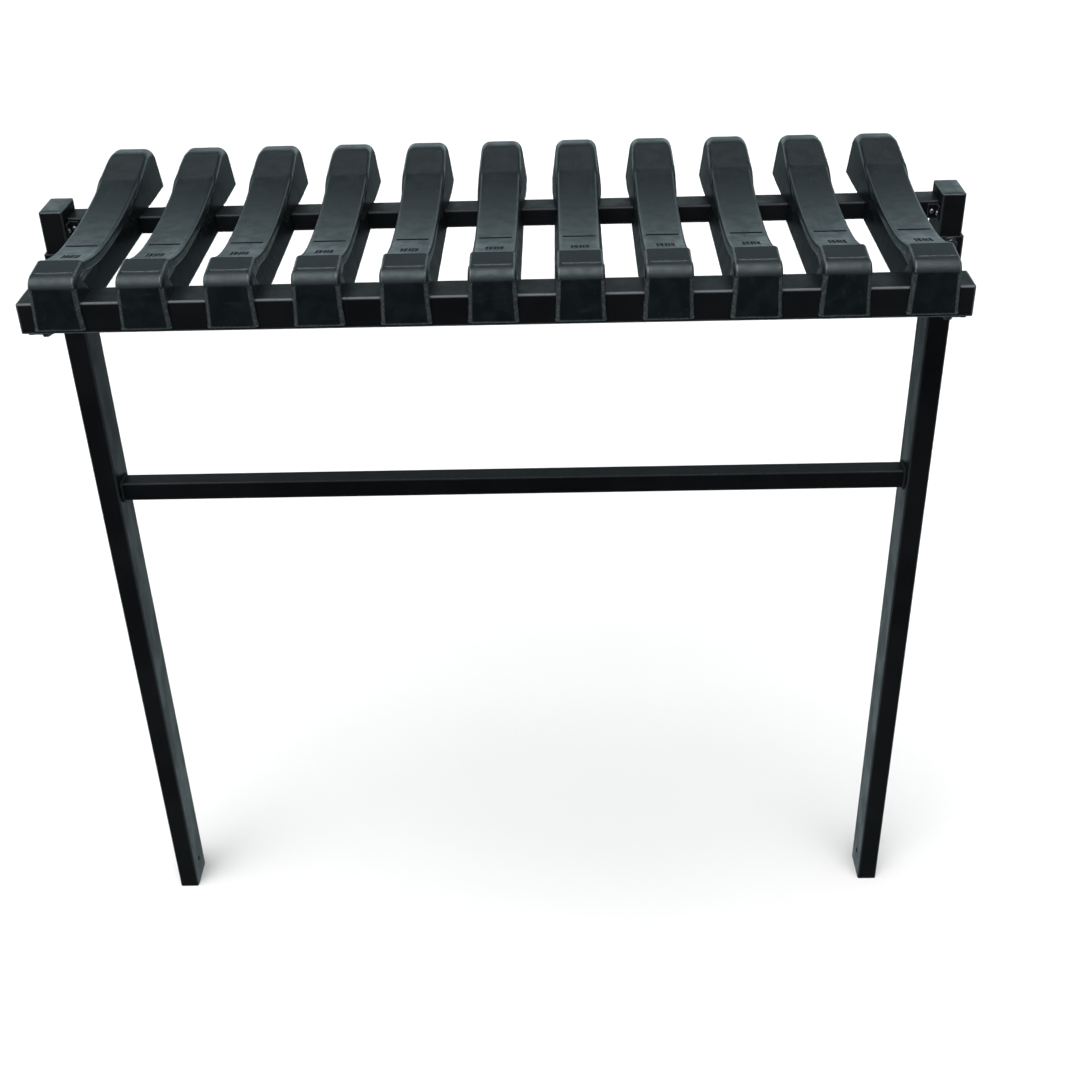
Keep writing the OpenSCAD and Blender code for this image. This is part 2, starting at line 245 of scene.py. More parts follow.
def sculpt(field, lo, hi, step, fine=((), (), ()), ratio=None, feel=1.2):
    """Meshes a distance field. feel is the size, in mm, over which sharpness is judged."""
    axes = [ticks(lo[k] - 1.5 * step, hi[k] + 1.5 * step, step, fine[k]) for k in range(3)]
    verts, faces = surface_net(field, axes)
    verts = settle(field, verts, 3, 0.6 * step)
    if ratio:
        verts, faces = thinned(verts, faces, ratio)
        verts = settle(field, verts, 2, 0.3 * step)
    normals = gradient(field, verts, 0.04 * step + 0.02)
    normals /= np.maximum(np.linalg.norm(normals, axis=1), 1e-6)[:, None]
    bend = -6 * field(*verts.T)
    for k in range(3):
        e = np.zeros(3)
        e[k] = feel
        bend += field(*(verts + e).T) + field(*(verts - e).T)
    return Shell(verts, faces, normals, bend / feel ** 2)


def rod(r, z0, z1, sides=24):
    """Closed round bar along Z."""
    a = np.arange(sides) * 2 * math.pi / sides
    ring = np.stack([r * np.cos(a), r * np.sin(a), np.zeros(sides)], 1)
    low, high = ring + (0, 0, z0), ring + (0, 0, z1)
    verts = np.concatenate([low, high, low, high, [[0, 0, z0], [0, 0, z1]]])
    out = ring / r
    down, up = np.tile([0.0, 0, -1], (sides, 1)), np.tile([0.0, 0, 1], (sides, 1))
    normals = np.concatenate([out, out, down, up, [[0, 0, -1], [0, 0, 1]]])
    faces = []
    for i in range(sides):
        j = (i + 1) % sides
        faces += [(i, j, sides + j, sides + i), (2 * sides + j, 2 * sides + i, 4 * sides, 4 * sides)]
        faces += [(3 * sides + i, 3 * sides + j, 4 * sides + 1, 4 * sides + 1)]
    return Shell(verts, np.array(faces), normals, np.zeros(len(verts)))


def make_piece(name, shells, material, nodes):
    """One object from several shells, standing for the given CAD nodes."""
    verts = np.clip(np.concatenate([s.verts for s in shells]) * MM, cad_lo, cad_hi)
    normals = np.concatenate([s.normals for s in shells])
    wear = np.concatenate([s.wear for s in shells])
    faces, at = [], 0
    for s in shells:
        for f in (s.faces + at).tolist():
            faces.append(f[:3] if len(f) == 4 and f[2] == f[3] else f)
        at += len(s.verts)
    mesh = bpy.data.meshes.new(name)
    mesh.from_pydata(verts.tolist(), [], faces)
    mesh.shade_smooth()
    mesh.attributes.new("wear", "FLOAT", "POINT").data.foreach_set("value", wear.astype(np.float32))
    mesh.normals_split_custom_set_from_vertices(normals.tolist())
    mesh.materials.append(material)
    obj = bpy.data.objects.new(name, mesh)
    scene.collection.objects.link(obj)
    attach(obj, "root")
    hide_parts(*nodes)


# ------------------------------------------------------------------ materials
class Graph:
    """Wires up one material's nodes. Sizes are in mm."""

    def __init__(self, name, metal=0.0, specular=0.5, tint=(1.0, 1.0, 1.0)):
        self.mat = bpy.data.materials.new(name)
        self.mat.use_nodes = True
        self.tree = self.mat.node_tree
        self.bsdf = self.tree.nodes["Principled BSDF"]
        self.bsdf.inputs["Metallic"].default_value = metal
        self.bsdf.inputs["Specular IOR Level"].default_value = specular
        self.bsdf.inputs["Specular Tint"].default_value = (*tint, 1.0)
        self.coord = self.new("ShaderNodeTexCoord").outputs["Object"]

    def new(self, kind, **settings):
        node = self.tree.nodes.new(kind)
        for key, value in settings.items():
            setattr(node, key, value)
        return node

    def put(self, socket, value):
        if isinstance(value, bpy.types.NodeSocket):
            self.tree.links.new(value, socket)
        elif isinstance(value, tuple) and socket.type == "RGBA":
            socket.default_value = (*value, 1.0)
        else:
            socket.default_value = value

    def stretched(self, scale, turn=(0.0, 0.0, 0.0)):
        node = self.new("ShaderNodeMapping")
        self.put(node.inputs["Vector"], self.coord)
        node.inputs["Scale"].default_value = scale
        node.inputs["Rotation"].default_value = turn
        return node.outputs["Vector"]

    def noise(self, size, detail=2.0, rough=0.5, vector=None, warp=0.0):
        node = self.new("ShaderNodeTexNoise")
        self.put(node.inputs["Vector"], vector or self.coord)
        node.inputs["Scale"].default_value = 1 / (size * MM)
        node.inputs["Detail"].default_value = detail
        node.inputs["Roughness"].default_value = rough
        node.inputs["Distortion"].default_value = warp
        return node.outputs["Fac"]

    def cells(self, size):
        node = self.new("ShaderNodeTexVoronoi", feature="SMOOTH_F1")
        self.put(node.inputs["Vector"], self.coord)
        node.inputs["Scale"].default_value = 1 / (size * MM)
        return node.outputs["Distance"]

    def span(self, value, lo, hi, out_lo=0.0, out_hi=1.0):
        node = self.new("ShaderNodeMapRange", interpolation_type="SMOOTHSTEP")
        for key, v in (("Value", value), ("From Min", lo), ("From Max", hi), ("To Min", out_lo),
                       ("To Max", out_hi)):
            self.put(node.inputs[key], v)
        return node.outputs["Result"]

    def math(self, how, a, b=0.0):
        node = self.new("ShaderNodeMath", operation=how)
        self.put(node.inputs[0], a)
        self.put(node.inputs[1], b)
        return node.outputs[0]

    def mix(self, share, a, b):
        node = self.new("ShaderNodeMix", data_type="RGBA")
        self.put(node.inputs[0], share)
        self.put(node.inputs[6], a)
        self.put(node.inputs[7], b)
        return node.outputs[2]

    def wear(self):
        return self.new("ShaderNodeAttribute", attribute_name="wear").outputs["Fac"]

    def bump(self, height, depth, normal=None):
        node = self.new("ShaderNodeBump")
        node.inputs["Strength"].default_value = 1.0
        node.inputs["Distance"].default_value = depth * MM
        self.put(node.inputs["Height"], height)
        if normal:
            self.put(node.inputs["Normal"], normal)
        return node.outputs["Normal"]

    def done(self, color, rough, normal):
        self.put(self.bsdf.inputs["Base Color"], color)
        self.put(self.bsdf.inputs["Roughness"], rough)
        self.put(self.bsdf.inputs["Normal"], normal)
        return self.mat


CORNER_BAND = (-3.4, -1.0)          # mm from a tube's faces, where its rounded corner begins and is full


def rounded_corners(axis, lo, hi, front_only=False):
    """Where a straight tube along axis has its long corners, from its box."""
    def mask(g):
        split = g.new("ShaderNodeSeparateXYZ")
        g.put(split.inputs[0], g.coord)
        inset = []
        for k in range(3):
            if k != axis:
                mid, half = (lo[k] + hi[k]) / 2, (hi[k] - lo[k]) / 2
                off = g.math("ABSOLUTE", g.math("SUBTRACT", split.outputs[k], mid * MM))
                inset.append(g.math("SUBTRACT", off, half * MM))
        corner = g.span(g.math("MINIMUM", *inset), CORNER_BAND[0] * MM, CORNER_BAND[1] * MM)
        # front_only keeps the front corners, where the front rail's painted highlight lies.
        if front_only:
            middle = (lo[1] + hi[1]) / 2 * MM
            corner = g.math("MULTIPLY", corner, g.math("LESS_THAN", split.outputs[1], middle))
        return corner
    return mask


def sharp_edges(lo, hi):
    """Where a sculpted piece is sharply convex, from its wear attribute."""
    return lambda g: g.span(g.wear(), lo, hi)


EDGES_FADE = (75, 40)               # mm behind the saddle's front, where the painted highlight on its edges fades in
EDGE_HIGHLIGHT_SPAN = (0.08, 0.17)            # wear attribute, from no painted highlight to full


def cap_edge_highlight(g):
    """Saddle edges, lightest down the corners of the front cap: a painted highlight on its rounded corners,
    faint elsewhere.
    """
    split = g.new("ShaderNodeSeparateXYZ")
    g.put(split.inputs[0], g.coord)
    near = g.span(split.outputs[1], (FRONT + EDGES_FADE[0]) * MM, (FRONT + EDGES_FADE[1]) * MM, 0.03, 1.0)
    return g.math("MULTIPLY", g.span(g.wear(), *EDGE_HIGHLIGHT_SPAN), near)


COAT_DARK, COAT_LIGHT = (0.0050, 0.0053, 0.0060), (0.0080, 0.0084, 0.0092)
# Rubbed corners of the tubes, and a painted highlight along the front rail's front corners.
COAT_WORN, RAIL_EDGE_HIGHLIGHT = (0.042, 0.044, 0.047), (0.16, 0.165, 0.175)
COAT_CHIP, COAT_SPECK = (0.050, 0.051, 0.053), (0.03, 0.03, 0.03)
SADDLE_DARK, SADDLE_LIGHT = (0.0016, 0.0022, 0.0031), (0.0028, 0.0036, 0.0048)
CAP_DARK, CAP_LIGHT = (0.0050, 0.0058, 0.0064), (0.0090, 0.0100, 0.0108)
RAIL_CAP_DARK, RAIL_CAP_LIGHT = (0.022, 0.024, 0.026), (0.040, 0.043, 0.046)
# The first is the light tone of rubbed edges and scratches, and on the saddle's front cap also a painted
# highlight down its corners; the second is dust in hollows.
RUBBED_AND_HIGHLIGHT_PLASTIC, CORNER_DUST = (0.060, 0.063, 0.065), (0.004, 0.004, 0.0038)
PLASTIC_SHEEN = (0.86, 1.0, 1.02)
BRIGHT_LOW, BRIGHT_HIGH = (0.16, 0.165, 0.17), (0.30, 0.305, 0.31)
ZINC_LOW, ZINC_HIGH = (0.075, 0.078, 0.082), (0.17, 0.175, 0.18)


def powder_coat(name, corners, wear_and_highlight=COAT_WORN):
    """Satin black powder coat: orange peel, faint handling marks, rubbed corners; on the front rail the
    corner colour is a painted highlight.
    """
    g = Graph(name, specular=0.07)
    edge = corners(g)
    broad = g.span(g.noise(150, 4.0, 0.6), 0.35, 0.65)
    smear = g.span(g.noise(28, 3.0, 0.6, g.stretched((1.0, 1.0, 0.45)), 0.4), 0.36, 0.66)
    chips = g.span(g.noise(4.5, 3.0, 0.7), 0.56, 0.64)
    rubbed = g.math("MULTIPLY", edge, chips)
    specks = g.span(g.noise(1.8, 1.0, 0.5), 0.74, 0.80)
    color = g.mix(broad, COAT_DARK, COAT_LIGHT)
    # Lighter corners: rubbed wear, and on the front rail a painted highlight along its front corners.
    color = g.mix(g.math("MULTIPLY", edge, 0.7), color, wear_and_highlight)
    color = g.mix(g.math("MULTIPLY", rubbed, 0.5), color, COAT_CHIP)
    color = g.mix(g.math("MULTIPLY", specks, 0.25), color, COAT_SPECK)
    rough = g.math("ADD", g.math("MULTIPLY", smear, 0.11), 0.34)
    rough = g.math("ADD", rough, g.math("MULTIPLY", rubbed, 0.12))
    peel = g.math("ADD", g.math("MULTIPLY", g.noise(2.6, 1.5, 0.4), 0.8),
                  g.math("MULTIPLY", g.noise(0.8, 1.0, 0.5), 0.2))
    return g.done(color, rough, g.bump(peel, 0.055))


def moulded(name, dark, light, corners, specular, rough_lo, rough_hi):
    """Satin moulded plastic: fine etched grain, flow marks, scuffs, rubbed edges with a painted highlight
    down the corners of the saddle's front cap, dust in corners.
    """
    g = Graph(name, specular=specular, tint=PLASTIC_SHEEN)
    edge = corners(g)
    hollow = g.span(g.wear(), -0.05, -0.28)
    flow = g.span(g.noise(75, 4.0, 0.55, g.stretched((1.6, 0.5, 1.6)), 0.6), 0.36, 0.66)
    patch = g.span(g.noise(18, 3.0, 0.6), 0.38, 0.64)
    scratch = g.span(g.noise(3.2, 2.0, 0.6, g.stretched((1.0, 0.045, 0.6), (0.0, 0.0, 0.12))), 0.63, 0.70)
    cross = g.span(g.noise(3.0, 2.0, 0.6, g.stretched((0.06, 1.0, 0.6), (0.0, 0.0, -0.2))), 0.665, 0.73)
    marks = g.math("MAXIMUM", scratch, g.math("MULTIPLY", cross, 0.7))
    chips = g.span(g.noise(3.6, 3.0, 0.7), 0.46, 0.60)
    rubbed = g.math("MULTIPLY", edge, chips)
    color = g.mix(flow, dark, light)
    color = g.mix(g.math("MULTIPLY", patch, 0.3), color, light)
    # Lighter edges: rubbed wear, and on the saddle's front cap a painted highlight down its rounded corners.
    color = g.mix(g.math("MULTIPLY", edge, 0.45), color, RUBBED_AND_HIGHLIGHT_PLASTIC)
    color = g.mix(g.math("MULTIPLY", rubbed, 0.5), color, tuple(1.8 * c for c in RUBBED_AND_HIGHLIGHT_PLASTIC))
    color = g.mix(g.math("MULTIPLY", marks, 0.10), color, RUBBED_AND_HIGHLIGHT_PLASTIC)
    color = g.mix(g.math("MULTIPLY", hollow, 0.35), color, CORNER_DUST)
    rough = g.math("ADD", g.math("MULTIPLY", patch, rough_hi - rough_lo), rough_lo)
    rough = g.math("ADD", rough, g.math("MULTIPLY", marks, 0.10))
    rough = g.math("ADD", rough, g.math("MULTIPLY", hollow, 0.18))
    grain = g.math("ADD", g.math("MULTIPLY", g.noise(0.9, 2.0, 0.6), 0.6),
                   g.math("MULTIPLY", g.cells(1.3), 0.4))
    normal = g.bump(grain, 0.05)
    normal = g.bump(g.math("SUBTRACT", g.math("MULTIPLY", flow, 0.6), marks), 0.02, normal)
    return g.done(color, rough, normal)


def plated(name, dark, light, rough_lo, rough_hi):
    """Zinc plate: cloudy, lightly scratched, duller in the corners."""
    g = Graph(name, metal=1.0)
    cloud = g.span(g.noise(4.0, 4.0, 0.65), 0.34, 0.68)
    dull = g.span(g.wear(), 0.1, -0.5)
    lines = g.noise(0.5, 2.0, 0.6, g.stretched((1.0, 0.12, 1.0)))
    color = g.mix(cloud, dark, light)
    color = g.mix(g.math("MULTIPLY", dull, 0.5), color, tuple(0.3 * c for c in dark))
    rough = g.math("ADD", g.math("MULTIPLY", cloud, rough_hi - rough_lo), rough_lo)
    rough = g.math("ADD", rough, g.math("MULTIPLY", dull, 0.2))
    return g.done(color, rough, g.bump(lines, 0.02))


saddle_mat = moulded("moulded_black", SADDLE_DARK, SADDLE_LIGHT, cap_edge_highlight,
                     specular=0.56, rough_lo=0.32, rough_hi=0.42)
cap_mat = moulded("cap_plastic", CAP_DARK, CAP_LIGHT, sharp_edges(0.2, 0.6),
                  specular=0.50, rough_lo=0.30, rough_hi=0.42)
rail_cap_mat = moulded("rail_cap_plastic", RAIL_CAP_DARK, RAIL_CAP_LIGHT, sharp_edges(0.2, 0.6),
                       specular=0.50, rough_lo=0.34, rough_hi=0.46)
coat_mat = powder_coat("powder_coat", sharp_edges(0.3, 0.9))
bright_mat = plated("bright_zinc", BRIGHT_LOW, BRIGHT_HIGH, rough_lo=0.34, rough_hi=0.52)
dark_mat = plated("dark_zinc", ZINC_LOW, ZINC_HIGH, rough_lo=0.30, rough_hi=0.48)

# The front rail's front corners carry a painted highlight in place of wear.
for node, axis in (("post_left", 2), ("post_right", 2), ("crossbar", 0), ("rear_rail", 0), ("front_rail", 0)):
    on_front = node == "front_rail"
    material = powder_coat("powder_coat_" + node, rounded_corners(axis, *span_mm(node), front_only=on_front),
                           RAIL_EDGE_HIGHLIGHT if on_front else COAT_WORN)
    for piece_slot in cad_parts[node].material_slots:
        piece_slot.material = material


# ------------------------------------------------------------------ saddles
SADDLES = 11
HALF_TOP = 27.0                                             # half width of the top band
WEB_HALF = HALF_TOP - 3.5                                   # of the web under it
HEAD_HALF, CAP_HALF, BLOCK_HALF = 35.0, 31.0, 32.0          # at the low end of the head, the cap and the web
HEAD_TOP = SADDLE_HI[2]
RAIL_TOP = span_mm("front_rail")[1][2]
LIP_TOP = RAIL_TOP + 33.5
SHOULDER_R, BACK_R = 14.0, 18.0
LIP_BACK = np.array([-168.0, RAIL_TOP + 38.0])
LIP_FALL = (LIP_BACK[1] - LIP_TOP) / (LIP_BACK[0] - FRONT - SHOULDER_R)
UNDER_LIP = np.array([LIP_BACK[0] - 3.0, RAIL_TOP + 28.0])  # the hollow's outline ends here, in the lip
HOLLOW = np.array([-60.0, RAIL_TOP + 872.0, 850.0])         # y, z, radius
RISE_FROM, RISE_R = HOLLOW[0] - 25.0, 310.0
RISE_LEAN = (RISE_FROM - HOLLOW[0]) / HOLLOW[2]
RISE = np.array([RISE_FROM - RISE_LEAN * RISE_R,
                 HOLLOW[1] - (HOLLOW[2] - RISE_R) * math.sqrt(1 - RISE_LEAN ** 2), RISE_R])
WIDE_ARC = 200.0                                            # arcs over this radius hollow the top
CREST_R = 60.0
CREST_Y = HOLLOW[0] + math.sqrt((HOLLOW[2] + CREST_R) ** 2 - (HOLLOW[1] - HEAD_TOP + CREST_R) ** 2)
CREST = np.array([CREST_Y, HEAD_TOP - CREST_R, CREST_R])
CREST_FROM = HOLLOW[0] + (CREST_Y - HOLLOW[0]) * HOLLOW[2] / (HOLLOW[2] + CREST_R)
SKIN = 13.0                                                 # thickness of the top band
FAR = 1e6                                                   # a distance that no surface reaches


def skyline(y):
    """Height of the top at y, without the lip."""
    rise = RISE[1] - np.sqrt(np.maximum(RISE[2] ** 2 - (y - RISE[0]) ** 2, 0))
    z = np.where(y < UNDER_LIP[0], UNDER_LIP[1], rise)
    z = np.where(y >= RISE_FROM, HOLLOW[1] - np.sqrt(HOLLOW[2] ** 2 - (y - HOLLOW[0]) ** 2), z)
    crest = CREST[1] + np.sqrt(np.maximum(CREST_R ** 2 - np.minimum(y - CREST[0], 0) ** 2, 0))
    z = np.where(y >= CREST_FROM, crest, z)
    back = HEAD_TOP - BACK_R + np.sqrt(np.maximum(BACK_R ** 2 - (y - BACK + BACK_R) ** 2, 0))
    return np.where(y > BACK - BACK_R, np.minimum(z, back), z)


def to_line(y, z, a, b):
    """Distance to the straight stretch from a to b."""
    ab = b - a
    t = np.clip(((y - a[0]) * ab[0] + (z - a[1]) * ab[1]) / (ab @ ab), 0, 1)
    return np.hypot(y - a[0] - t * ab[0], z - a[1] - t * ab[1])


def to_arc(y, z, arc, y0, y1):
    """Distance to an arc (y, z, radius) between y0 and y1: its lower half if it is a wide one."""
    d = np.abs(np.hypot(y - arc[0], z - arc[1]) - arc[2])
    over = np.sign(z - arc[1])
    reach = arc[0] + (y - arc[0]) / np.maximum(np.hypot(y - arc[0], z - arc[1]), 1e-6) * arc[2]
    up = -1.0 if arc[2] > WIDE_ARC else 1.0
    return np.where((reach >= y0) & (reach <= y1) & (over == up), d, FAR)


def under_top(y, z):
    """Signed distance to the saddle's side outline, negative inside."""
    low = RAIL_TOP - 60.0
    point = np.array
    rise_end = point([UNDER_LIP[0], float(skyline(UNDER_LIP[0] + 1e-6))])
    d = to_line(y, z, point([FRONT, low]), point([FRONT, UNDER_LIP[1]]))
    d = np.minimum(d, to_line(y, z, point([FRONT, UNDER_LIP[1]]), UNDER_LIP))
    d = np.minimum(d, to_line(y, z, UNDER_LIP, rise_end))
    d = np.minimum(d, to_arc(y, z, RISE, UNDER_LIP[0], RISE_FROM))
    d = np.minimum(d, to_arc(y, z, HOLLOW, RISE_FROM, CREST_FROM))
    d = np.minimum(d, to_arc(y, z, CREST, CREST_FROM, CREST_Y))
    d = np.minimum(d, to_line(y, z, point([CREST_Y, HEAD_TOP]), point([BACK - BACK_R, HEAD_TOP])))
    d = np.minimum(d, to_arc(y, z, (BACK - BACK_R, HEAD_TOP - BACK_R, BACK_R), BACK - BACK_R, BACK))
    d = np.minimum(d, to_line(y, z, point([BACK, low]), point([BACK, HEAD_TOP - BACK_R])))
    inside = (y > FRONT) & (y < BACK) & (z < skyline(y))
    return np.where(inside, -d, d)


POST_BACK = span_mm("post_left")[1][1]
GROOVE_Y = -82.0
DASH_Y, DASH_HALF = -133.0, 10.0
DASHES = ((-9.0, 1.3), (-4.2, 2.0), (1.2, 1.5), (5.0, 1.0), (9.4, 1.8))     # x and half width of each
FRONT_RAIL_LO, FRONT_RAIL_HI = span_mm("front_rail")
REAR_RAIL_LO = span_mm("rear_rail")[0]
WEB_LO, CAP_LO, HEAD_LO = RAIL_TOP - 22.0, SADDLE_LO[2], RAIL_TOP - 3.0
WEB_FRONT, WEB_BACK = FRONT_RAIL_HI[1] + 1.0, REAR_RAIL_LO[1] - 1.5
FLARE_FROM = RAIL_TOP + 10.0
FLANK_Y, FLANK_SLOPE = 51.0, 0.4545                         # the flank's top edge runs back and up from here
NOSE_Y = FRONT + 20.0                                       # the cap ends and the arm begins
BAND_BACK, CORE_BACK, POCKET_FRONT = BACK - 40, BACK - 62, BACK - 66
HEAD_ROOF = HEAD_TOP - 14                                   # of the pocket under the head
BAY_WALL, BAY_RIB, BAYS = 4.0, 3.0, 4
LID_GROOVE_Y, LID_GROOVE_HALF = FRONT + 16.5, 22.5


def tapered(ax, z, top_half, z_top, low_half, z_low):
    """Distance outside a pair of sides that lean out downwards."""
    slope = (low_half - top_half) / (z_top - z_low)
    half = top_half + (z_top - z) * slope
    return (ax - half) / math.hypot(1, slope)


def ease(v, a, b):
    """0 below a, 1 above b, and a smooth step between them."""
    t = np.clip((v - a) / (b - a), 0, 1)
    return t * t * (3 - 2 * t)


def saddle_field(x, y, z):
    """One saddle, centred on x = 0: arm, head, lip and front cap, less what is hollow."""
    ax = np.abs(x)
    top = under_top(y, z)
    corner = 4.2 + 7.0 * ease(y, BACK - 60, BACK - 8)
    band = both(top, ax - HALF_TOP, corner)
    band = both(band, -(top + SKIN), 1.5)
    band = both(band, np.maximum(NOSE_Y - y, y - BAND_BACK), 1.5)
    side = np.where(z > FLARE_FROM, ax - WEB_HALF, tapered(ax, z, WEB_HALF, FLARE_FROM, BLOCK_HALF, WEB_LO))
    core = both(top + 1.5, side, 3.0)
    core = both(core, WEB_LO - z, 1.8)
    core = both(core, np.maximum(NOSE_Y - y, y - CORE_BACK), 1.5)
    core = np.maximum(core, np.minimum(WEB_FRONT - y, RAIL_TOP - z))
    core = np.maximum(core, np.minimum(y - WEB_BACK, RAIL_TOP - z))
    flank = tapered(ax, z, HALF_TOP, HEAD_TOP, HEAD_HALF, HEAD_LO)
    widening = (HEAD_HALF - WEB_HALF) * (y - FLANK_Y + 6) / (POST_BACK - FLANK_Y + 6)
    plan = (ax - WEB_HALF - widening) * 0.992
    head = both(top, both(flank, plan, 6.0), corner)
    shoulder = (z - FLARE_FROM - (y - FLANK_Y) * FLANK_SLOPE) / math.hypot(1, FLANK_SLOPE)
    head = both(head, shoulder, 2.5)
    head = both(head, np.maximum(FLANK_Y - y, HEAD_LO - z), 2.0)
    head = np.maximum(head, np.minimum(y - POST_BACK - 0.5, RAIL_TOP - z))
    foot = 0.9 * ease(-z, -CAP_LO - 6, -CAP_LO)
    lid = ((z - LIP_TOP) - LIP_FALL * (y - FRONT - SHOULDER_R)) / math.hypot(1, LIP_FALL)
    face = both(lid, FRONT - y, SHOULDER_R)
    lip = both(face, both(ax - HALF_TOP - 0.5, y - LIP_BACK[0], 5.0), 2.2)
    lip = both(lip, -(lid + SKIN), 1.5)
    cap = both(face, tapered(ax, z, HALF_TOP + 2.0, LIP_TOP - 8, CAP_HALF, CAP_LO) - foot, 6.0)
    cap = both(cap, (y - NOSE_Y - (LIP_TOP - z) * 0.9) * 0.743, 3.0)
    cap = both(cap, y - (FRONT_RAIL_HI[1] - 6), 2.0)
    cap = both(cap, CAP_LO - z, 1.2)
    cap = without(cap, np.maximum(FRONT_RAIL_LO[1] - 0.5 - y, z - RAIL_TOP), 0.8)
    body = either(band, core, 1.2)
    body = either(body, head, 0.01 + 1.5 * ease(-top, 0.5, 6.0))
    body = either(body, lip, 1.0)
    body = either(body, cap, 0.01 + 2.0 * ease(-face, 0.5, 6.0))
    # pockets underneath
    roof = RAIL_TOP + 22.0 - BAY_WALL
    bay0 = WEB_FRONT + BAY_WALL
    pitch = (WEB_BACK - BAY_WALL - bay0 + BAY_RIB) / BAYS
    along = np.abs((y - bay0) % pitch - (pitch - BAY_RIB) / 2) - (pitch - BAY_RIB) / 2
    along = np.where((y < bay0 - 1) | (y > bay0 + BAYS * pitch - BAY_RIB + 1), 2.0, along)
    hole = both(both(along, ax - (HALF_TOP - 2.5 - BAY_WALL), 2.0), z - roof, 2.0)
    body = without(body, hole, 0.8)
    hole = both(np.maximum(POCKET_FRONT - y, y - (BACK - BAY_WALL)),
                tapered(ax, z, HALF_TOP - 6, HEAD_ROOF, HEAD_HALF - 4.5, HEAD_LO - 1), 2.5)
    hole = both(hole, z - HEAD_ROOF, 2.5)
    body = without(body, hole, 0.8)
    # fine grooves between the lip and the shoulder, and across the hollow
    slot = both(np.abs(y - LID_GROOVE_Y) - 0.75, -(lid + 1.4), 0.3)
    body = without(body, both(slot, ax - LID_GROOVE_HALF, 0.6), 0.25)
    slot = both(np.abs(y - GROOVE_Y) - 2.2, -(top + 3.2), 0.5)
    body = without(body, both(slot, ax - 20.0, 0.8), 0.4)
    # a row of plain dashes between them
    dash = np.full_like(body, 1e3)
    for at, half in DASHES:
        dash = np.minimum(dash, both(np.abs(x - at) - half, np.abs(y - DASH_Y) - DASH_HALF, 0.6))
    return without(body, both(dash, -(top + 2.0), 0.3), 0.3)


def around(y, reach, step):
    """A stretch of finer grid, reach mm each way from y."""
    return (y - reach, y + reach, step)


FINE_X = ((-12.5, 12.5, 0.8),)
FINE_Y = ((FRONT + 14.0, FRONT + 19.0, 0.45), around(GROOVE_Y, 4, 0.6),
          around(DASH_Y - DASH_HALF, 1.6, 0.7), around(DASH_Y + DASH_HALF, 1.6, 0.7))
saddle_shell = sculpt(saddle_field, (-HEAD_HALF - 0.5, FRONT, CAP_LO), (HEAD_HALF + 0.5, BACK, HEAD_TOP),
                      1.6, (FINE_X, FINE_Y, ()), 0.42)
for k in range(1, SADDLES + 1):
    node = "saddle_%02d" % k
    lo, hi = span_mm(node)
    shift = ((lo[0] + hi[0]) / 2, 0, 0)
    make_piece("look_" + node, [saddle_shell.moved(shift)], saddle_mat, [node])


# ------------------------------------------------------------------ end caps
POST_PLUG, RAIL_PLUG = (25.0, 53.0), (43.0, 33.0)
FIN_LEVELS = (-3.4, -7.4, -11.4)


def cap_shell(wide, deep, lid, plug, plug_low):
    """A domed lid on a finned plug. The lid's underside is at z = 0."""
    def field(x, y, z):
        qx, qy = np.abs(x) - wide / 2, np.abs(y) - deep / 2
        edge = both(qx, qy, 3.0)
        dome = z - (lid - 0.9 * np.clip(1 + edge / 9.0, 0, 1) ** 2)
        top = both(both(edge, dome, 1.1), -z, 0.35)
        ring = both(np.abs(edge + 3.4) - 0.45, np.abs(z - lid) - 0.35, 0.1)
        top = without(top, ring, 0.15)
        px, py = np.abs(x) - plug[0] / 2, np.abs(y) - plug[1] / 2
        outer = both(px, py, 1.5)
        stem = both(np.maximum(outer, -(outer + 2.2)), np.maximum(plug_low - z, z - 0.4), 0.3)
        d = np.minimum(top, stem)
        for level in FIN_LEVELS:
            leaf = both(np.maximum(outer - 1.4, -(outer + 1.2)), np.abs(z - level) - 0.6, 0.25)
            d = np.minimum(d, leaf)
        return d
    reach = np.array([wide / 2, deep / 2])
    return sculpt(field, (*-reach, plug_low), (*reach, lid), 0.7, ratio=0.5, feel=0.6)


for side in ("left", "right"):
    lo, hi = span_mm("post_cap_" + side)
    tube_top = span_mm("post_" + side)[1][2]
    mid = (lo + hi) / 2
    shell = cap_shell(hi[0] - lo[0], hi[1] - lo[1], hi[2] - tube_top, POST_PLUG, lo[2] - tube_top)
    make_piece("look_post_cap_" + side, [shell.moved((mid[0], mid[1], tube_top))], cap_mat,
               ["post_cap_" + side])

lo, hi = span_mm("front_rail_cap_right")
tube_end = FRONT_RAIL_HI[0]
shell = cap_shell(hi[1] - lo[1], hi[2] - lo[2], hi[0] - tube_end, RAIL_PLUG, lo[0] - tube_end)
outward = np.array([[0.0, 0, 1], [1, 0, 0], [0, 1, 0]])         # local Z to +X
end = (tube_end, (lo[1] + hi[1]) / 2, (lo[2] + hi[2]) / 2)
right_end = shell.moved(end, outward)
for side, flip in (("right", False), ("left", True)):
    make_piece("look_front_rail_cap_" + side, [right_end.moved((0, 0, 0), flip=flip)], rail_cap_mat,
               ["front_rail_cap_" + side])


# ------------------------------------------------------------------ fasteners
HEX_R, SMALL_HEX_R = 9.24, 5.77             # corner radius of an M10 and an M6 hexagon
M10_R, M6_R, SCREW_R = 4.9, 3.0, 1.95       # shanks
SMALL_HEAD_H = 4.0
HALF_RIGHT_ANGLE = 0.7071                   # sine of 45 degrees


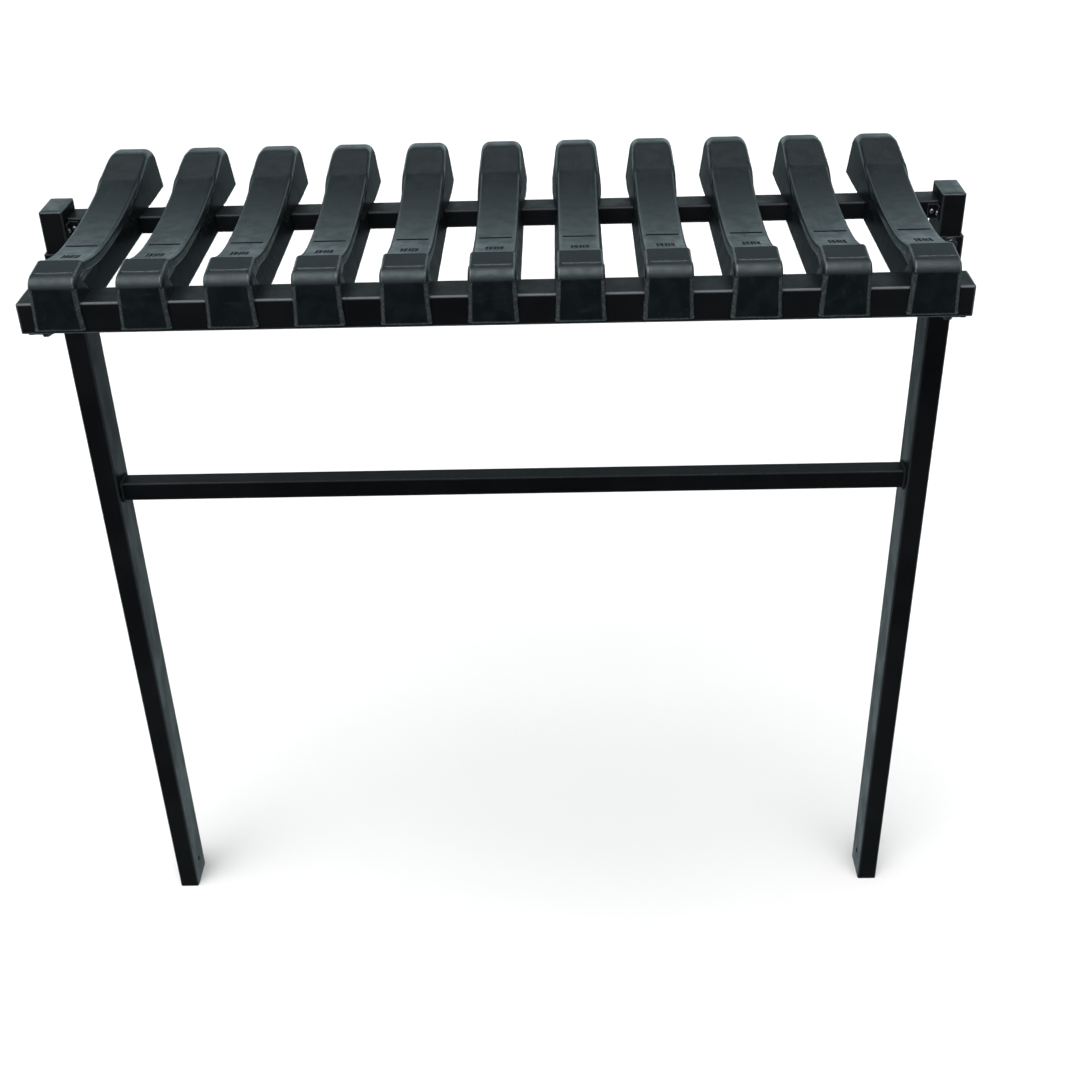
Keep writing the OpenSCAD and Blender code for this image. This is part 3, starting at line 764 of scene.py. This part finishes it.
def hex_head(x, y, z, r, h):
    """Chamfered hexagon, corners on the X axis, standing on z = 0."""
    flat = r * math.cos(math.pi / 6)
    d = np.full_like(x, -FAR)
    for k in range(3):
        a = math.pi / 6 + k * math.pi / 3
        d = np.maximum(d, np.abs(x * math.cos(a) + y * math.sin(a)) - flat)
    cone = (np.hypot(x, y) - flat * 0.97) * math.sin(math.pi / 6) + (z - h) * math.cos(math.pi / 6)
    return both(both(both(d, z - h, 0.15), cone, 0.15), -z, 0.2)


def bolt_head(r, h):
    """Hexagon with a dished top and a seat ring, standing on z = 0."""
    def field(x, y, z):
        seat = both(np.hypot(x, y) - r * 0.84, np.abs(z) - 0.5, 0.15)
        d = np.minimum(hex_head(x, y, z - 0.4, r, h - 0.4), seat)
        dish = np.hypot(x, y) - r * 0.55
        return without(d, both(dish, (h - 0.25) - z, 0.1), 0.2)
    return sculpt(field, (-r, -r, -0.6), (r, r, h), 0.45, feel=0.5)


def nut_body(r, h, bore):
    """Hexagon chamfered on both faces, with a round bore."""
    def field(x, y, z):
        upper = hex_head(x, y, z, r, h)
        lower = hex_head(x, y, h - z, r, h)
        return without(np.maximum(upper, lower), np.hypot(x, y) - bore, 0.4)
    return sculpt(field, (-r, -r, 0), (r, r, h), 0.45, feel=0.5)


def thread_tip(r, pitch, z0, z1):
    """Threaded end of a bolt, from z0 to a coned tip at z1."""
    def field(x, y, z):
        turn = np.arctan2(y, x) / (2 * math.pi)
        wave = np.abs(((z / pitch - turn) % 1.0) - 0.5) * 2
        d = np.hypot(x, y) - (r - 0.55 * pitch * wave)
        tip = (np.hypot(x, y) - r + 0.9 + z - z1) * HALF_RIGHT_ANGLE
        return both(np.maximum(d * 0.75, tip), z0 - z, 0.1)
    return sculpt(field, (-r, -r, z0), (r, r, z1), 0.28, feel=0.5)


def ring_plate(r, bore, h):
    """Washer with soft edges, lying on z = 0."""
    def field(x, y, z):
        rho = np.hypot(x, y)
        return both(np.maximum(rho - r, bore - rho), np.abs(z - h / 2) - h / 2, 0.35)
    return sculpt(field, (-r, -r, 0), (r, r, h), 0.45, feel=0.5)


def pan_head(r, h):
    """Domed screw head with a cross recess, standing on z = 0."""
    def field(x, y, z):
        ball = np.sqrt(x * x + y * y + (z - h + 4.2) ** 2) - 4.2
        d = both(both(np.hypot(x, y) - r, ball, 0.5), -z, 0.1)
        px, py = np.abs(x), np.abs(y)
        slot = np.minimum(np.maximum(px - 0.5, py - 1.9), np.maximum(py - 0.5, px - 1.9))
        return without(d, both(slot, (h - 1.3) - z, 0.1), 0.12)
    return sculpt(field, (-r, -r, 0), (r, r, h), 0.22, feel=0.3)


FORWARD = np.array([[1.0, 0, 0], [0, 0, -1], [0, 1, 0]])       # local Z to -Y
BACKWARD = np.array([[-1.0, 0, 0], [0, 0, 1], [0, 1, 0]])      # local Z to +Y
DOWN = np.array([[1.0, 0, 0], [0, -1, 0], [0, 0, -1]])         # local Z to -Z
SIDEWAYS = np.array([[0.0, 0, -1], [0, -1, 0], [-1, 0, 0]])    # local Z to -X
QUARTER = np.array([[0.0, -1, 0], [1, 0, 0], [0, 0, 1]])       # hexagon corner to the local Y axis

POST_LO, POST_HI = span_mm("post_right")
PLATE_LO, PLATE_HI = span_mm("side_bracket_right")
BOLT_LO, BOLT_HI = span_mm("bracket_bolts")
WASHER_LO = span_mm("bracket_washers")[0]
NUT_LO, NUT_HI = span_mm("bracket_nuts")
POST_MID = (POST_LO[0] + POST_HI[0]) / 2
ANGLE_T = 2.5                                                  # thickness of the small angle brackets
BOLT_ZS = (BOLT_HI[2] - HEX_R, BOLT_LO[2] + HEX_R)
PLATE_FACE = POST_LO[1] - 4.0                                  # the plate is 4 mm thick
WASHER_T = PLATE_FACE - WASHER_LO[1]

head = bolt_head(HEX_R, WASHER_LO[1] - BOLT_LO[1])
nut = nut_body(HEX_R, NUT_HI[1] - NUT_LO[1], 4.6)
tip = thread_tip(4.95, 1.5, NUT_HI[1] - WASHER_LO[1] - 2, BOLT_HI[1] - WASHER_LO[1])
shank = rod(M10_R, 0.2, NUT_HI[1] - WASHER_LO[1] - 1)
washer = ring_plate(10.0, 5.3, WASHER_T)
bolts, washers, nuts = [], [], []
for x in (-POST_MID, POST_MID):
    for z in BOLT_ZS:
        seat = (x, WASHER_LO[1], z)
        bolts += [head.moved(seat, FORWARD @ QUARTER), tip.moved(seat, BACKWARD), shank.moved(seat, BACKWARD)]
        washers += [washer.moved(seat, BACKWARD), washer.moved((x, POST_HI[1], z), BACKWARD)]
        nuts.append(nut.moved((x, NUT_LO[1], z), BACKWARD @ QUARTER))
make_piece("look_bracket_bolts", bolts, dark_mat, ["bracket_bolts"])
make_piece("look_bracket_washers", washers, dark_mat, ["bracket_washers"])
make_piece("look_bracket_nuts", nuts, dark_mat, ["bracket_nuts"])

small_head = bolt_head(SMALL_HEX_R, SMALL_HEAD_H)
lo, hi = span_mm("seat_bolts")
seat_bolts = []
for x in (lo[0] + SMALL_HEX_R, hi[0] - SMALL_HEX_R):
    for y in ((FRONT_RAIL_LO[1] + FRONT_RAIL_HI[1]) / 2 + s for s in (-10, 10)):
        seat = (x, y, lo[2] + SMALL_HEAD_H)
        seat_bolts += [small_head.moved(seat, DOWN), rod(M6_R, -14.0, 0.2).moved(seat, DOWN)]
make_piece("look_seat_bolts", seat_bolts, dark_mat, ["seat_bolts"])

for node in ("saddle_screws_front", "saddle_screws_rear"):
    lo, hi = span_mm(node)
    seat_z = lo[2] + SMALL_HEAD_H
    shank = rod(M6_R, seat_z - hi[2], 0.2)
    parts = []
    for k in range(1, SADDLES + 1):
        box_lo, box_hi = span_mm("saddle_%02d" % k)
        seat = ((box_lo[0] + box_hi[0]) / 2, (lo[1] + hi[1]) / 2, seat_z)
        parts += [small_head.moved(seat, DOWN), shank.moved(seat, DOWN)]
    make_piece("look_" + node, parts, dark_mat, [node])

pan, pan_small = pan_head(3.6, 2.4), pan_head(3.2, 2.4)
screw = rod(SCREW_R, -8.0, 0.1, 16)
screw_z = RAIL_TOP - 14.0
parts = []
for flip in (False, True):
    face = (POST_LO[0] - 8.0, REAR_RAIL_LO[1] - ANGLE_T, screw_z)
    flank = (POST_LO[0] - ANGLE_T, REAR_RAIL_LO[1] - 9.5, screw_z)
    for shell, place, turn in ((pan, face, FORWARD), (screw, face, FORWARD),
                               (pan_small, flank, SIDEWAYS), (screw, flank, SIDEWAYS)):
        parts.append(shell.moved(place, turn).moved((0, 0, 0), flip=flip))
make_piece("look_rear_bracket_screws", parts, bright_mat, ["rear_bracket_screws"])


# ------------------------------------------------------------------ brackets and welds
def rear_bracket_field(x, y, z):
    """The small right angle in the corner of post and rear rail."""
    lo, hi = span_mm("rear_rail_bracket_right")
    inner = (POST_LO[0], REAR_RAIL_LO[1], hi[2])
    leg_a = block(x, y, z, (lo[0], REAR_RAIL_LO[1] - ANGLE_T, lo[2]), inner, 0.5)
    leg_b = block(x, y, z, (POST_LO[0] - ANGLE_T, lo[1], lo[2]), inner, 0.5)
    return either(leg_a, leg_b, 1.6)


PLATE_INNER, ARM_MID, ARM_HALF = 563.0, 566.0, 3.0             # x of the plate's edge and of the arm
SEAT_INNER, SEAT_OUTER, SEAT_T = 538.0, 569.0, 4.0             # x and thickness of the seat under the rail


def side_bracket_field(x, y, z):
    """The right bracket: plate and wing on the post, arm to the front rail, and the seat under it."""
    low, top = PLATE_LO[2], RAIL_TOP - 43.0
    plate = block(x, y, z, (PLATE_INNER, PLATE_FACE, low), (PLATE_HI[0], POST_LO[1], top), 0.9)
    wing = block(x, y, z, (POST_HI[0], PLATE_FACE, low), (PLATE_HI[0], PLATE_HI[1], top), 0.9)
    bevel = ((x - PLATE_HI[0]) - (y - PLATE_FACE) + 2.2) * HALF_RIGHT_ANGLE
    bent = both(either(plate, wing, 0.8), bevel, 1.5)
    rail_low = FRONT_RAIL_LO[2]
    rail_back, seat_front = FRONT_RAIL_HI[1], FRONT_RAIL_LO[1] + 10
    outline = ((PLATE_FACE, low), (PLATE_FACE, top), (rail_back + 100, RAIL_TOP - 28),
               (rail_back, RAIL_TOP - 12), (rail_back, rail_low), (seat_front, rail_low),
               (seat_front, rail_low - SEAT_T), (rail_back, rail_low - 20))
    corners = [np.array(c) for c in outline]
    d = np.full_like(x, FAR)
    odd = np.zeros(x.shape, bool)
    for a, b in zip(corners, corners[1:] + corners[:1]):
        d = np.minimum(d, to_line(y, z, a, b))
        rising = (a[1] > z) != (b[1] > z)
        with np.errstate(divide="ignore", invalid="ignore"):
            cut = (b[0] - a[0]) * (z - a[1]) / (b[1] - a[1]) + a[0]
        odd ^= rising & (y < cut)
    arm = both(np.where(odd, -d, d), np.abs(x - ARM_MID) - ARM_HALF, 0.9)
    seat = block(x, y, z, (SEAT_INNER, FRONT_RAIL_LO[1] + 8, rail_low - SEAT_T),
                 (SEAT_OUTER, rail_back, rail_low), 0.9)
    return either(either(bent, arm, 3.2), seat, 2.6)


for node, field, step in (("rear_rail_bracket", rear_bracket_field, 0.6),
                          ("side_bracket", side_bracket_field, 1.15)):
    lo, hi = span_mm(node + "_right")
    shell = sculpt(field, lo, hi, step, ratio=0.35, feel=0.8)
    for side, flip in (("left", True), ("right", False)):
        make_piece("look_%s_%s" % (node, side), [shell.moved((0, 0, 0), flip=flip)], coat_mat,
                   [node + "_" + side])

BAR_LO, BAR_HI = span_mm("crossbar")
BEAD_R, BEAD_REACH = 3.0, 4.5
RIPPLE, RIPPLE_PITCH = 0.28, 2.3


def weld_field(x, y, z):
    """A rippled bead round the crossbar where it meets the right post."""
    my, mz, half = (BAR_LO[1] + BAR_HI[1]) / 2, (BAR_LO[2] + BAR_HI[2]) / 2, (BAR_HI[1] - BAR_LO[1]) / 2
    qy, qz = np.abs(y - my) - half, np.abs(z - mz) - half
    off = both(qy, qz, 3.0)
    gap = BAR_HI[0] - x
    along = np.where(qz > qy, y, z)
    across = off - gap
    ripple = RIPPLE * np.cos((along + 0.35 * np.abs(across)) * 2 * math.pi / RIPPLE_PITCH)
    bead = np.hypot(off - 0.2, gap - 0.2) - BEAD_R - ripple
    return np.maximum(bead, -gap)


shell = sculpt(weld_field, (BAR_HI[0] - BEAD_REACH, BAR_LO[1] - BEAD_REACH, BAR_LO[2] - BEAD_REACH),
               (BAR_HI[0], BAR_HI[1] + BEAD_REACH, BAR_HI[2] + BEAD_REACH), 0.55, feel=0.6)
make_piece("look_crossbar_welds", [shell, shell.moved((0, 0, 0), flip=True)], coat_mat, ["crossbar_welds"])


# ------------------------------------------------------------------ studio
SOFTBOX_AIM, SOFTBOX_EDGE, SOFTBOX_POWER = (-0.12, -0.39, 0.913), (0.80, 0.92), 5.3
HORIZON, HORIZON_FRONT, BAND_FRONT, SKY = 1.24, 0.13, 0.80, 0.11
LOW_FRONT, LOW_BACK, LOW_BACK_STEEP = 0.07, 0.13, 0.95
LIGHT_TINT, SKY_TINT = (0.97, 1.0, 1.03), (0.80, 1.0, 1.05)

BACKDROP_R, BACKDROP_H, BACKDROP_SIDES = 25.0, 22.0, 64
BACKDROP_COLOR = (0.90, 0.90, 0.90, 1.0)
PAPER_DARK, PAPER_LIGHT = (0.835, 0.790, 0.765), (0.850, 0.805, 0.780)


def floor_paper():
    """Pale matt paper with a fine fibre."""
    g = Graph("floor_paper", specular=0.2)
    cloud = g.span(g.noise(900, 3.0, 0.5), 0.3, 0.7)
    fibre = g.noise(1.2, 3.0, 0.6)
    color = g.mix(cloud, PAPER_DARK, PAPER_LIGHT)
    rough = g.math("ADD", g.math("MULTIPLY", fibre, 0.1), 0.85)
    return g.done(color, rough, g.bump(fibre, 0.02))


def make_sky():
    """Pale backdrop at the horizon, a large soft source high in front, dark cards low in front."""
    world = bpy.data.worlds.new("studio")
    scene.world = world
    world.use_nodes = True
    tree = world.node_tree

    def new(kind, *links, **settings):
        node = tree.nodes.new(kind)
        for key, value in settings.items():
            setattr(node, key, value)
        for socket, value in links:
            if isinstance(value, bpy.types.NodeSocket):
                tree.links.new(value, node.inputs[socket])
            else:
                node.inputs[socket].default_value = value
        return node

    def span(value, lo, hi, out_lo, out_hi):
        return new("ShaderNodeMapRange", ("Value", value), ("From Min", lo), ("From Max", hi),
                   ("To Min", out_lo), ("To Max", out_hi), interpolation_type="SMOOTHSTEP").outputs["Result"]

    aim = tree.nodes.new("ShaderNodeTexCoord").outputs["Generated"]
    split = new("ShaderNodeSeparateXYZ", (0, aim))
    toward = new("ShaderNodeVectorMath", (0, aim), (1, SOFTBOX_AIM), operation="DOT_PRODUCT").outputs["Value"]
    softbox = span(toward, SOFTBOX_EDGE[0], SOFTBOX_EDGE[1], 0.0, SOFTBOX_POWER)
    band = span(split.outputs[2], 0.06, 0.30, HORIZON_FRONT, BAND_FRONT)
    horizon = span(split.outputs[1], -0.35, 0.30, band, HORIZON)
    sky = span(split.outputs[2], 0.10, 0.66, horizon, SKY)
    low_back = span(split.outputs[2], -0.62, -0.25, LOW_BACK_STEEP, LOW_BACK)
    low = span(split.outputs[1], -0.75, 0.05, LOW_FRONT, low_back)
    above = new("ShaderNodeMath", (0, sky), (1, softbox), operation="ADD").outputs[0]
    share = span(split.outputs[2], -0.06, 0.02, 0.0, 1.0)
    light = new("ShaderNodeMix", (0, share), (2, low), (3, above), data_type="FLOAT").outputs[0]
    tree.links.new(light, tree.nodes["Background"].inputs["Strength"])
    lamp_share = span(toward, SOFTBOX_EDGE[0] - 0.05, SOFTBOX_EDGE[0] + 0.05, 0.0, 1.0)
    tint = new("ShaderNodeMix", (0, lamp_share), (6, (*SKY_TINT, 1.0)), (7, (*LIGHT_TINT, 1.0)),
               data_type="RGBA")
    tree.links.new(tint.outputs[2], tree.nodes["Background"].inputs["Color"])


def backdrop_paper():
    """Evenly lit pale paper."""
    mat = bpy.data.materials.new("backdrop_paper")
    mat.use_nodes = True
    tree = mat.node_tree
    tree.nodes.clear()
    glow = tree.nodes.new("ShaderNodeEmission")
    glow.inputs["Color"].default_value = BACKDROP_COLOR
    out = tree.nodes.new("ShaderNodeOutputMaterial")
    tree.links.new(glow.outputs[0], out.inputs["Surface"])
    return mat


def set_piece(name, verts, faces, material):
    """Floor or backdrop, seen by the camera only, so that it doesn't light the rack."""
    mesh = bpy.data.meshes.new(name)
    mesh.from_pydata(verts, [], faces)
    mesh.materials.append(material)
    obj = bpy.data.objects.new(name, mesh)
    scene.collection.objects.link(obj)
    obj.visible_diffuse = obj.visible_glossy = False
    return obj


def make_studio():
    turns = [k * 2 * math.pi / BACKDROP_SIDES for k in range(BACKDROP_SIDES)]
    ring = [(BACKDROP_R * math.cos(t), BACKDROP_R * math.sin(t)) for t in turns]
    set_piece("floor", [(x, y, 0) for x, y in ring], [tuple(range(BACKDROP_SIDES))], floor_paper())
    verts = [(x, y, z) for z in (0, BACKDROP_H) for x, y in ring]
    walls = [(k, (k + 1) % BACKDROP_SIDES, (k + 1) % BACKDROP_SIDES + BACKDROP_SIDES, k + BACKDROP_SIDES)
             for k in range(BACKDROP_SIDES)]
    roof = tuple(range(BACKDROP_SIDES, 2 * BACKDROP_SIDES))
    set_piece("backdrop", verts, walls + [roof], backdrop_paper()).visible_shadow = False
    make_sky()
    scene.view_settings.view_transform = "Standard"


make_studio()
